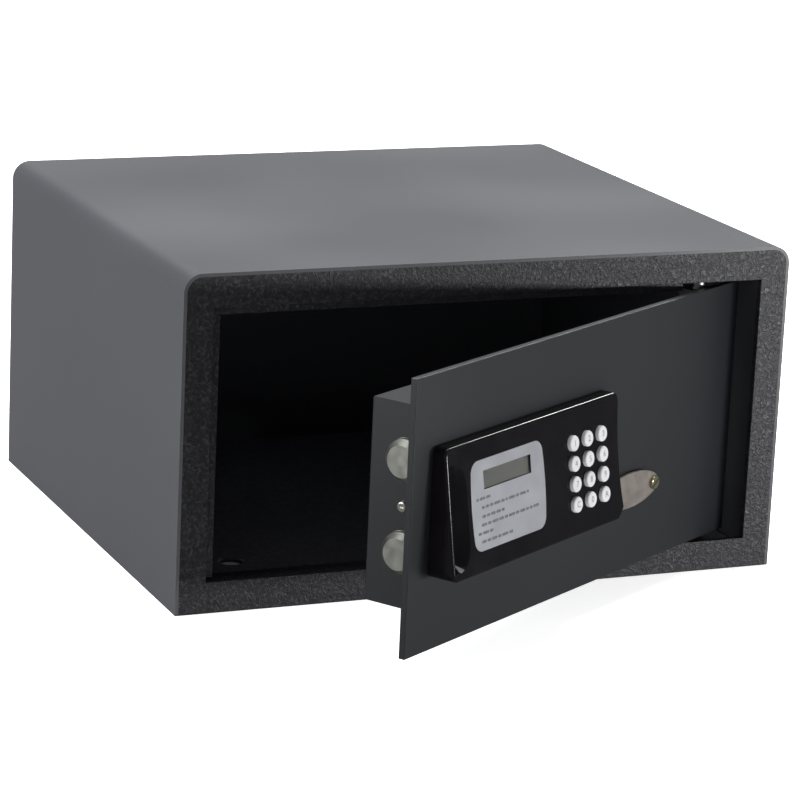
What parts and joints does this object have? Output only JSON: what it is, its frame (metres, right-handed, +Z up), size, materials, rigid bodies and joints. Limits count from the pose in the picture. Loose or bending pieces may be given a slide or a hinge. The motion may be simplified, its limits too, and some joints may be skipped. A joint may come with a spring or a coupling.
{
  "type": "in-room hotel safe",
  "caption": "Steel hotel room safe with a hinged door, motor-driven locking bolts, a wedge keypad with display and a swivelling cover over its override lock.",
  "frame": {"origin": "centre of the safe's underside, at the middle of the body's width and depth", "axes": "+Z up; the door side faces -Y; +X is to the right of someone facing the door, which hinges on that side"},
  "size_m": [0.384, 0.4994, 0.2],
  "materials": {
    "grey_powder_coat": "smooth satin powder coat over steel sheet",
    "hammered_powder_coat": "dark hammered powder coat, satin",
    "door_powder_coat": "fine satin powder coat over steel plate",
    "carpet": "short needle-felt pile",
    "frosted_lens": "frosted acrylic",
    "black_plastic": "moulded black plastic, fine grain",
    "gloss_black_abs": "polished black ABS",
    "silver_label": "silver-grey printed film, satin",
    "display_window": "clear acrylic window",
    "display": "reflective grey-green liquid crystal panel",
    "key_plastic": "satin light grey moulded plastic",
    "silicone": "silicone keypad sheet",
    "circuit_board": "solder-masked glass-epoxy board",
    "cable": "flat PVC ribbon",
    "bolt_steel": "turned and polished steel",
    "zinc_steel": "zinc-plated pressed steel",
    "nickel_screws": "bright nickel-plated steel",
    "brass": "turned brass",
    "acetal": "white acetal",
    "cover_steel": "brushed stainless steel",
    "cell_jacket": "printed foil jacket"
  },
  "bodies": {
    "body": {"body_wrap": "grey_powder_coat", "front_frame": "hammered_powder_coat", "base_plate": "grey_powder_coat", "rear_panel": "grey_powder_coat", "stop_strip_left": "hammered_powder_coat", "stop_strip_top": "hammered_powder_coat", "sill_strip": "hammered_powder_coat", "hinge_bracket_upper": "hammered_powder_coat", "hinge_bracket_lower": "hammered_powder_coat", "floor_mat": "carpet", "lamp_housing": "black_plastic", "lamp_lens": "frosted_lens"},
    "door": {"door_plate": "door_powder_coat", "hinge_block_upper": "door_powder_coat", "hinge_block_lower": "door_powder_coat", "hinge_pins": "bolt_steel", "lock_case": "door_powder_coat", "case_bracket": "zinc_steel", "case_screws": "nickel_screws", "bolt_guide": "zinc_steel", "motor_bracket": "zinc_steel", "gearmotor": "zinc_steel", "control_board": "circuit_board", "ribbon_cable": "cable", "battery_holder": "black_plastic", "battery_cells": "cell_jacket", "battery_cover": "black_plastic", "lock_cylinder": "brass", "lock_nut": "brass", "cover_screw": "brass", "cover_washer": "zinc_steel", "keypad_housing": "gloss_black_abs", "keypad_label": "silver_label", "display_window": "display_window", "display_module": "display", "keypad_mat": "silicone", "keypad_board": "circuit_board", "housing_screws": "nickel_screws"},
    "bolt_work": {"locking_bolt_upper": "bolt_steel", "locking_bolt_lower": "bolt_steel", "bolt_clips": "zinc_steel", "bolt_carriage": "zinc_steel", "drive_rack": "acetal", "draw_bar": "zinc_steel"},
    "pinion": {"drive_pinion": "brass"},
    "override_plug": {"lock_plug": "brass", "lock_cam": "zinc_steel"},
    "cover": {"key_cover": "cover_steel"},
    "key_1_cap": {"key_1": "key_plastic"},
    "key_2_cap": {"key_2": "key_plastic"},
    "key_3_cap": {"key_3": "key_plastic"},
    "key_4_cap": {"key_4": "key_plastic"},
    "key_5_cap": {"key_5": "key_plastic"},
    "key_6_cap": {"key_6": "key_plastic"},
    "key_7_cap": {"key_7": "key_plastic"},
    "key_8_cap": {"key_8": "key_plastic"},
    "key_9_cap": {"key_9": "key_plastic"},
    "key_clear_cap": {"key_clear": "key_plastic"},
    "key_0_cap": {"key_0": "key_plastic"},
    "key_lock_cap": {"key_lock": "key_plastic"}
  },
  "joints": [
    {"name": "door_hinge", "type": "hinge", "parent": "body", "child": "door", "pos_m": [0.137, -0.156, 0.0984], "axis": [0, 0, 1], "range_deg": [-31.8, 68.2]},
    {"name": "bolt_throw", "type": "slide", "parent": "door", "child": "bolt_work", "axis": [-0.8499, -0.527, 0], "range_m": [0, 0.025]},
    {"name": "pinion_turn", "type": "hinge", "parent": "door", "child": "pinion", "pos_m": [-0.03858, -0.27039, 0.10015], "axis": [-0.527, 0.8499, 0], "range_deg": [0, 205]},
    {"name": "override_turn", "type": "hinge", "parent": "door", "child": "override_plug", "pos_m": [0.06854, -0.21163, 0.0693], "axis": [0.527, -0.8499, 0], "range_deg": [0, 90]},
    {"name": "cover_swivel", "type": "hinge", "parent": "door", "child": "cover", "pos_m": [0.09063, -0.19793, 0.0693], "axis": [-0.527, 0.8499, 0], "range_deg": [-100, 100]},
    {"name": "key_1_press", "type": "slide", "parent": "door", "child": "key_1_cap", "axis": [-0.5221, 0.842, -0.1357], "range_m": [0, 0.0012], "stiffness_N_per_m": 900, "springref_m": -0.0003},
    {"name": "key_2_press", "type": "slide", "parent": "door", "child": "key_2_cap", "axis": [-0.5221, 0.842, -0.1357], "range_m": [0, 0.0012], "stiffness_N_per_m": 900, "springref_m": -0.0003},
    {"name": "key_3_press", "type": "slide", "parent": "door", "child": "key_3_cap", "axis": [-0.5221, 0.842, -0.1357], "range_m": [0, 0.0012], "stiffness_N_per_m": 900, "springref_m": -0.0003},
    {"name": "key_4_press", "type": "slide", "parent": "door", "child": "key_4_cap", "axis": [-0.5221, 0.842, -0.1357], "range_m": [0, 0.0012], "stiffness_N_per_m": 900, "springref_m": -0.0003},
    {"name": "key_5_press", "type": "slide", "parent": "door", "child": "key_5_cap", "axis": [-0.5221, 0.842, -0.1357], "range_m": [0, 0.0012], "stiffness_N_per_m": 900, "springref_m": -0.0003},
    {"name": "key_6_press", "type": "slide", "parent": "door", "child": "key_6_cap", "axis": [-0.5221, 0.842, -0.1357], "range_m": [0, 0.0012], "stiffness_N_per_m": 900, "springref_m": -0.0003},
    {"name": "key_7_press", "type": "slide", "parent": "door", "child": "key_7_cap", "axis": [-0.5221, 0.842, -0.1357], "range_m": [0, 0.0012], "stiffness_N_per_m": 900, "springref_m": -0.0003},
    {"name": "key_8_press", "type": "slide", "parent": "door", "child": "key_8_cap", "axis": [-0.5221, 0.842, -0.1357], "range_m": [0, 0.0012], "stiffness_N_per_m": 900, "springref_m": -0.0003},
    {"name": "key_9_press", "type": "slide", "parent": "door", "child": "key_9_cap", "axis": [-0.5221, 0.842, -0.1357], "range_m": [0, 0.0012], "stiffness_N_per_m": 900, "springref_m": -0.0003},
    {"name": "key_clear_press", "type": "slide", "parent": "door", "child": "key_clear_cap", "axis": [-0.5221, 0.842, -0.1357], "range_m": [0, 0.0012], "stiffness_N_per_m": 900, "springref_m": -0.0003},
    {"name": "key_0_press", "type": "slide", "parent": "door", "child": "key_0_cap", "axis": [-0.5221, 0.842, -0.1357], "range_m": [0, 0.0012], "stiffness_N_per_m": 900, "springref_m": -0.0003},
    {"name": "key_lock_press", "type": "slide", "parent": "door", "child": "key_lock_cap", "axis": [-0.5221, 0.842, -0.1357], "range_m": [0, 0.0012], "stiffness_N_per_m": 900, "springref_m": -0.0003}
  ],
  "couplings": [
    {"joint": "pinion_turn", "follows": "bolt_throw", "rad_per_m": 142.86}
  ]
}
